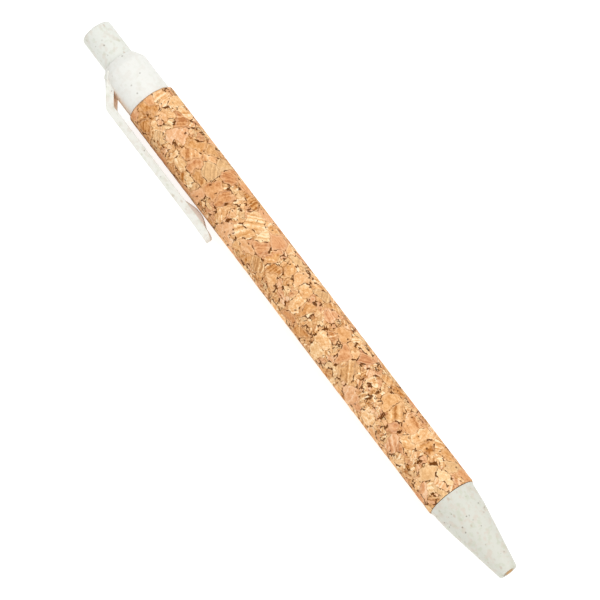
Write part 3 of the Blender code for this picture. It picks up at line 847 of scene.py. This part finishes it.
# %% Bend and thicken the clip
INNER_LIMIT, SOFT_EDGE, END_SLOPE, END_ROUNDING = 3.9, 0.34, 4.0, 2.2
bm = bmesh.new()
bmesh.ops.create_grid(bm, x_segments=160, y_segments=14, size=0.5)
for vert in bm.verts:
    s, r = clip_line(TOTAL * (vert.co.x + 0.5))
    across = 2 * vert.co.y * clip_half_width(s)
    saddle = COLLAR_R - math.sqrt(COLLAR_R**2 - across**2)
    share = max(1 - (s - ROOT_S) / (BLADE_S - ROOT_S), 0)
    near_end = max(s - (clip_end - END_SLOPE), 0) / END_SLOPE
    vert.co = Vector((s, -(r - saddle * share + 0.12 * near_end), across)) * MM
bmesh.ops.recalc_face_normals(bm, faces=bm.faces)
if sum(face.normal.y for face in bm.faces) > 0:
    bmesh.ops.reverse_faces(bm, faces=bm.faces)
bmesh.ops.solidify(bm, geom=bm.faces[:], thickness=CLIP_THICK * MM)
bmesh.ops.recalc_face_normals(bm, faces=bm.faces)
print("the bent strip has", len(bm.faces), "faces")

# %% [markdown]
# ### The clip's edges
#
# The inner side must not reach into the collar's bore, so it is held to a least radius. The blade's
# inner side rises towards the end, which makes the end thin enough to slip over cloth. Then every
# sharp edge of the strip is bevelled.

# %% Round the clip's edges
for vert in bm.verts:
    r = radius_of(vert.co)
    if r < INNER_LIMIT:
        vert.co.yz = vert.co.yz * (INNER_LIMIT / r)
    past = max(vert.co.x / MM - (clip_end - END_ROUNDING), 0) / END_ROUNDING
    if past > 0 and -vert.co.y < (CLIP_R - CLIP_THICK / 2) * MM:
        vert.co.y -= CLIP_THICK * 0.5 * (1 - math.sqrt(max(1 - past**2, 0))) * MM
sharp_edges = [edge for edge in bm.edges if edge.calc_face_angle(0) > math.radians(50)]
bevel_edges(bm, sharp_edges, SOFT_EDGE, 4)
bm.normal_update()
# The clip's inner faces near its root take the finish with the painted cork reflection.
for face in bm.faces:
    middle = face.calc_center_median() / MM
    inner = ROOT_S + 2.5 < middle.x < ARCH_REFLECTION_END + 1 and face.normal.y > 0.35
    face.material_index = int(inner and abs(middle.z) < clip_half_width(middle.x) - 0.2)
stands_out = -min(vert.co.y for vert in bm.verts) / MM
print("the clip stands", round(stands_out, 2), "mm out from the pen's axis")

# %% [markdown]
# ### The clip's bump
#
# A low ridge under the blade, narrower than it, holds cloth against the barrel. The strip's even grid
# has no edges where the ridge would start, so the ridge is a second grid, raised in the middle. Its
# foot is extruded up into the blade, so that it is a closed form too.

# %% The clip's bump
BUMP_S, BUMP_LENGTH, BUMP_HEIGHT, BUMP_WIDTH, APEX = 38.7, 8.4, 1.12, 2.3, 0.54
BUMP_SLOT = 2


def add_clip_bump(bm):
    bump = bmesh.new()
    bmesh.ops.create_grid(bump, x_segments=40, y_segments=10, size=0.5)
    for vert in bump.verts:
        share, side = vert.co.x + 0.5, 2 * vert.co.y
        rise = (share / APEX) if share < APEX else (1 - share) / (1 - APEX)
        soft = math.sin(min(max(rise, 0), 1) * math.pi / 2) ** 1.2
        rim = max(1 - abs(side) ** 6, 0)
        r = CLIP_R - CLIP_THICK + 0.2 - BUMP_HEIGHT * soft * rim
        vert.co = Vector((BUMP_S + BUMP_LENGTH * share, -r, side * BUMP_WIDTH / 2)) * MM
    foot = bmesh.ops.extrude_face_region(bump, geom=bump.faces[:], use_keep_orig=True)["geom"]
    for vert in foot:
        if isinstance(vert, bmesh.types.BMVert):
            vert.co.y = -(CLIP_R - CLIP_THICK / 2) * MM
    bmesh.ops.recalc_face_normals(bump, faces=bump.faces)
    # The bump's finish carries painted shade and a painted cork reflection.
    for face in bump.faces:
        face.material_index = BUMP_SLOT
    extra = bpy.data.meshes.new("clip_bump")
    bump.to_mesh(extra)
    bump.free()
    bm.from_mesh(extra)
    bpy.data.meshes.remove(extra)


add_clip_bump(bm)
# The second finish has the painted cork reflection. The third has the bump's painted shade and
# reflection.
CLIP_FINISHES = [CLIP_PLASTIC, CLIP_PLASTIC_PAINTED_REFLECTION, BUMP_SHADE_AND_REFLECTION_PLASTIC]
clip_piece = finish_piece("clip_arm", bm, CLIP_FINISHES, None, "straw_plastic", "clip", sharp=45)
hinge_start, hinge_end = on_pen(ROOT_S - 0.2, COLLAR_R), on_pen(ROOT_S + 4.0, COLLAR_R + 1.6)
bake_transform(clip_piece)

# %% [markdown]
# ## Refill and point
#
# The brass point is turned like the other pieces: a stem inside the refill, a flange, a groove and a
# fine cone whose socket holds the ball. The refill's tube has two ears that the spring pushes
# against. They are drawn as one ring, which is enough for ears that never leave the barrel.

# %% Writing point and ball
tip_start, tip_end = start_of("writing_tip"), end_of("writing_tip")
ball_low, ball_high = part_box("writing_ball")
ball_s, BALL_R = ((ball_low.x + ball_high.x) / 2 - solid_low.x) / MM, 0.5
flange = end_of("refill_tube") + 0.1
groove, CONE_START, POINT_R = flange + 5, 130.0, 1.15
outline = [(tip_start, 0.3), (tip_start, 0.95), (flange, 0.95), (flange, 1.5)]
outline += [(flange + 0.8, 1.5), (flange + 0.8, POINT_R), (groove, POINT_R), (groove, 1.02)]
outline += [(groove + 0.4, 1.02), (groove + 0.4, POINT_R), (CONE_START, POINT_R)]
outline += [(ball_s - 1.1, 0.75), (tip_end, 0.60), (tip_end, 0.52)]
outline += [(ball_s - 0.6, 0.53), (ball_s - 0.6, 0.3)]
bm = spin_outline(outline, 96)
round_ring(bm, flange + 0.8, 1.5, 0.12, 2)
round_ring(bm, CONE_START, POINT_R, 0.2, 3)
finish_piece("brass_point", bm, [BRASS], "refill", "brass", "writing_tip", sharp=30)

bm = bmesh.new()
bmesh.ops.create_icosphere(bm, subdivisions=4, radius=BALL_R * MM)
bmesh.ops.translate(bm, verts=bm.verts, vec=(ball_s * MM, 0, 0))
finish_piece("rolling_ball", bm, [CARBIDE], "ball", "carbide", "writing_ball")

# %% Refill tube
TUBE_R, TUBE_BORE, EAR_S, EAR_R = 1.5, 1.0, 111.2, 2.05
tube_start, tube_end, ear_end = start_of("refill_tube"), end_of("refill_tube"), EAR_S + 0.8
outline = [(tube_start, TUBE_BORE), (tube_start, TUBE_R), (EAR_S, TUBE_R), (EAR_S, EAR_R)]
outline += [(ear_end, EAR_R), (ear_end, TUBE_R), (tube_end, TUBE_R), (tube_end, TUBE_BORE)]
bm = spin_outline(outline, 72)
round_ring(bm, EAR_S, EAR_R, 0.12, 2)
round_ring(bm, ear_end, EAR_R, 0.12, 2)
finish_piece("refill_sleeve", bm, [TUBE], "refill", "clear_plastic", "refill_tube", sharp=30)

# %% [markdown]
# ## Return spring
#
# A coil could follow a curve, but a spin that also moves forward gives an exact pitch from one small
# disc, the wire's section: a few close turns, the open coil, and close turns again. The spring
# shortens as the refill moves, and its front end rests in the nose cone.

# %% Return spring
WIRE_R, COIL_R, TURNS = 0.19, 1.85, 10
CLOSE_TURNS, CLOSE_PITCH, STEPS = 1.5, 0.45, 32
spring_start, spring_end = start_of("return_spring"), end_of("return_spring")


def advance(bm, geometry, turns, pitch):
    """Spins the wire on by some turns while it moves along the pen."""
    motion = {"cent": (0, 0, 0), "axis": (1, 0, 0), "space": Matrix.Identity(4)}
    motion |= {"dvec": (pitch / STEPS * MM, 0, 0), "angle": math.tau * turns}
    return bmesh.ops.spin(bm, geom=geometry, steps=round(turns * STEPS), **motion)["geom_last"]


spring_length = spring_end - spring_start
open_pitch = (spring_length - 2 * WIRE_R - 2 * CLOSE_TURNS * CLOSE_PITCH) / TURNS
bm = bmesh.new()
ring = bmesh.ops.create_circle(bm, cap_ends=True, segments=12, radius=WIRE_R * MM)["verts"]
bmesh.ops.translate(bm, verts=ring, vec=((spring_start + WIRE_R) * MM, COIL_R * MM, 0))
last = bm.faces[:] + bm.edges[:] + bm.verts[:]
for turns, pitch in ((CLOSE_TURNS, CLOSE_PITCH), (TURNS, open_pitch), (CLOSE_TURNS, CLOSE_PITCH)):
    last = advance(bm, last, turns, pitch)
spring = finish_piece("spring_coil", bm, [STEEL], "barrel", "spring_steel", "return_spring", sharp=60)
travel = joints["refill_slide"]["range_m"][1] / MM
keep = (spring_length - travel) / spring_length
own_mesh(spring)
print("the spring has", round(TURNS + 2 * CLOSE_TURNS, 1), "turns")

# %% [markdown]
# ## The pieces that stay as they are
#
# The guide, the cams, the bush, the liner and the ink are hidden in the pen and their solids already
# have the right shapes, so they are kept. They only need their finishes.

# %% Finish the hidden pieces
KEPT = {"liner_tube": CARD, "ink_column": INK, "front_bush": GUIDE}
KEPT |= {"thrust_cam": GUIDE, "rotor": GUIDE, "cam_body": GUIDE}
for node, material in KEPT.items():
    solid = frame["nodes"][node]
    solid.data.materials.clear()
    solid.data.materials.append(material)
print("kept:", ", ".join(KEPT))

# %% [markdown]
# ## The solids' box
#
# The finer pieces must fill the same box as the solids did, so the solids' box is written down.

# %% Size and finish
print("solids ", [round(1000 * value, 2) for value in (*solid_low, *solid_high)])
